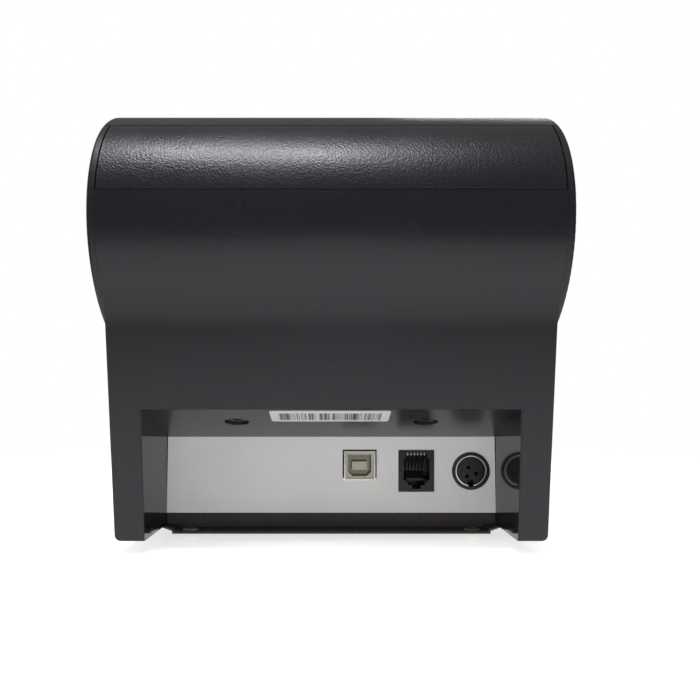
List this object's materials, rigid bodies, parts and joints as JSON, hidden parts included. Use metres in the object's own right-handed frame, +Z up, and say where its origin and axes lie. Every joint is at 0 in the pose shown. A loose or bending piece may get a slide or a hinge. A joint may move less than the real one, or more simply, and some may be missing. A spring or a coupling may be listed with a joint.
{
  "type": "receipt printer",
  "caption": "Desktop thermal receipt printer with a curved rear cover, a hinged paper lid, a paper roll bay, a cutter and a recessed socket panel.",
  "frame": {"origin": "on the table, under the middle of the printer", "axes": "+Z up, -Y towards the front and the paper exit, +Y towards the sockets"},
  "size_m": [0.1496, 0.1952, 0.1545],
  "materials": {
    "case_plastic": "satin, finely grained",
    "cover_plastic": "leather grain",
    "lid_plastic": "satin, finely grained",
    "panel_plastic": "satin",
    "white_plastic": "smooth",
    "beige_plastic": "smooth",
    "black_plastic": "glossy",
    "inner_plastic": "moulded",
    "base_steel": "black paint",
    "zinc_steel": "zinc plated sheet",
    "bright_steel": "bright",
    "brass_steel": "yellow zinc",
    "black_screw": "black oxide",
    "blade_steel": "ground",
    "aluminium": "extruded",
    "head_ceramic": "glazed",
    "roller_rubber": "ground",
    "foot_rubber": "matt",
    "gear_plastic": "natural acetal",
    "board": "green solder mask",
    "component": "moulded",
    "label_paper": "printed label",
    "lens": "clear",
    "button_plastic": "satin",
    "gold_contact": "gold plated"
  },
  "bodies": {
    "printer_body": {"main_housing": "case_plastic", "rear_cover": "cover_plastic", "left_side_panel": "panel_plastic", "right_side_panel": "panel_plastic", "front_cover": "case_plastic", "tear_bar": "blade_steel", "base_plate": "base_steel", "rubber_feet": "foot_rubber", "base_screws": "black_screw", "ledge_screws": "brass_steel", "recess_screws": "black_screw", "paper_bucket": "inner_plastic", "hinge_brackets": "zinc_steel", "hinge_pins": "bright_steel", "mechanism_frame": "zinc_steel", "frame_posts": "inner_plastic", "feed_motor": "zinc_steel", "gear_guard": "inner_plastic", "head_springs": "bright_steel", "cutter_frame": "zinc_steel", "cutter_motor": "zinc_steel", "paper_sensor": "component", "paper_guide": "inner_plastic", "main_board": "board", "board_posts": "inner_plastic", "board_parts": "component", "port_panel": "white_plastic", "usb_shell": "bright_steel", "usb_insert": "beige_plastic", "drawer_jack": "black_plastic", "drawer_jack_contacts": "gold_contact", "power_socket_body": "black_plastic", "power_socket_ring": "bright_steel", "bar_code_label": "label_paper", "panel_board": "board", "led_lenses": "lens", "release_guide": "inner_plastic", "release_spring": "bright_steel", "power_switch_frame": "black_plastic"},
    "lid": {"lid_cover": "lid_plastic", "lid_frame": "inner_plastic", "lid_screws": "black_screw", "platen_bushings": "gear_plastic", "fixed_blade": "blade_steel", "blade_holder": "inner_plastic"},
    "platen": {"platen_shaft": "bright_steel", "platen_rubber": "roller_rubber", "platen_gear": "gear_plastic"},
    "idler": {"idler_gear": "gear_plastic"},
    "motor_rotor": {"motor_shaft": "bright_steel", "motor_pinion": "brass_steel"},
    "print_head": {"thermal_head": "head_ceramic", "head_heatsink": "aluminium"},
    "cutter_blade": {"moving_blade": "blade_steel"},
    "cutter_drive": {"cutter_gear": "gear_plastic"},
    "cutter_rotor": {"cutter_pinion": "brass_steel"},
    "feed_key": {"feed_button": "button_plastic"},
    "release_key": {"release_button": "button_plastic"},
    "power_key": {"power_rocker": "black_plastic"},
    "near_end_feeler": {"near_end_lever": "gear_plastic"}
  },
  "joints": [
    {"name": "lid_hinge", "type": "hinge", "parent": "printer_body", "child": "lid", "pos_m": [0, 0.062, 0.141], "axis": [-1, 0, 0], "range_deg": [0, 78]},
    {"name": "platen_spin", "type": "hinge", "parent": "lid", "child": "platen", "pos_m": [0, -0.037, 0.108], "axis": [1, 0, 0], "continuous": true},
    {"name": "idler_spin", "type": "hinge", "parent": "printer_body", "child": "idler", "pos_m": [0.053, -0.03064, 0.08891], "axis": [1, 0, 0], "continuous": true},
    {"name": "motor_spin", "type": "hinge", "parent": "printer_body", "child": "motor_rotor", "pos_m": [0.05, -0.04082, 0.0754], "axis": [1, 0, 0], "continuous": true},
    {"name": "head_pivot", "type": "hinge", "parent": "printer_body", "child": "print_head", "pos_m": [0, -0.04303, 0.09644], "axis": [1, 0, 0], "range_deg": [0, 2], "stiffness_Nm_per_rad": 4, "springref_deg": -2.86},
    {"name": "cutter_slide", "type": "slide", "parent": "printer_body", "child": "cutter_blade", "axis": [0, 0.866, 0.5], "range_m": [0, 0.012]},
    {"name": "cutter_gear_spin", "type": "hinge", "parent": "printer_body", "child": "cutter_drive", "pos_m": [0.014, -0.06417, 0.10305], "axis": [0, -0.5, 0.866], "range_deg": [0, 71.7]},
    {"name": "cutter_motor_spin", "type": "hinge", "parent": "printer_body", "child": "cutter_rotor", "pos_m": [-0.00052, -0.06417, 0.10305], "axis": [0, -0.5, 0.866], "range_deg": [-143.5, 0]},
    {"name": "feed_press", "type": "slide", "parent": "printer_body", "child": "feed_key", "axis": [0, 0.6157, -0.788], "range_m": [0, 0.0007], "stiffness_N_per_m": 800, "springref_m": -0.001},
    {"name": "release_press", "type": "slide", "parent": "printer_body", "child": "release_key", "axis": [0, 0, -1], "range_m": [0, 0.003], "stiffness_N_per_m": 400, "springref_m": -0.003, "deforming": ["release_spring"]},
    {"name": "power_rock", "type": "hinge", "parent": "printer_body", "child": "power_key", "pos_m": [-0.052, -0.0907, 0.024], "axis": [1, 0, 0], "range_deg": [0, 16]},
    {"name": "near_end_swing", "type": "hinge", "parent": "printer_body", "child": "near_end_feeler", "pos_m": [-0.045, 0.033, 0.069], "axis": [1, 0, 0], "range_deg": [-9, 0]}
  ],
  "couplings": [
    {"joint": "idler_spin", "follows": "platen_spin", "ratio": -0.66667},
    {"joint": "motor_spin", "follows": "platen_spin", "ratio": 1.6667},
    {"joint": "cutter_gear_spin", "follows": "cutter_slide", "rad_per_m": 104.17},
    {"joint": "cutter_motor_spin", "follows": "cutter_slide", "rad_per_m": -208.33}
  ]
}
